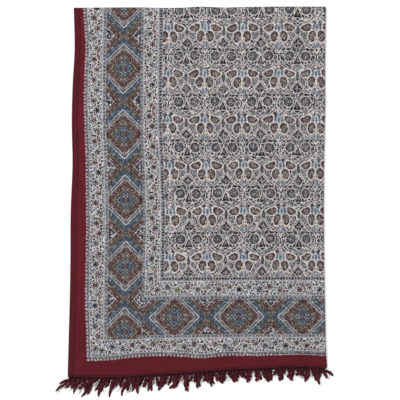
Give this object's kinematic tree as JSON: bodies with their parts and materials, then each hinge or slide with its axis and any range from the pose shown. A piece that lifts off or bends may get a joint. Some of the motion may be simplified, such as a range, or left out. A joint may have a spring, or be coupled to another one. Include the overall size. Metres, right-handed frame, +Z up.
{
  "type": "folded block printed tablecloth",
  "caption": "Rectangular printed cotton tablecloth with plain dyed hems and a twisted fringe at both ends, folded in quarters and laid flat.",
  "frame": {"origin": "middle of the folded cloth's underside, on the surface that it lies on", "axes": "+Z up out of the surface, +Y along the cloth's length from its fringed ends to the crease, +X towards the crease along its length"},
  "size_m": [0.8132, 1.1468, 0.0119],
  "materials": {
    "printed_cotton": "plain-woven cotton, hand block printed in blue, brown and ochre on a pale ground, with maroon hems",
    "fringe_yarn": "maroon cotton yarn twisted into locks"
  },
  "bodies": {
    "root": {"cloth": "printed_cotton", "fringe_outer": "fringe_yarn", "fringe_inner": "fringe_yarn"}
  },
  "joints": []
}
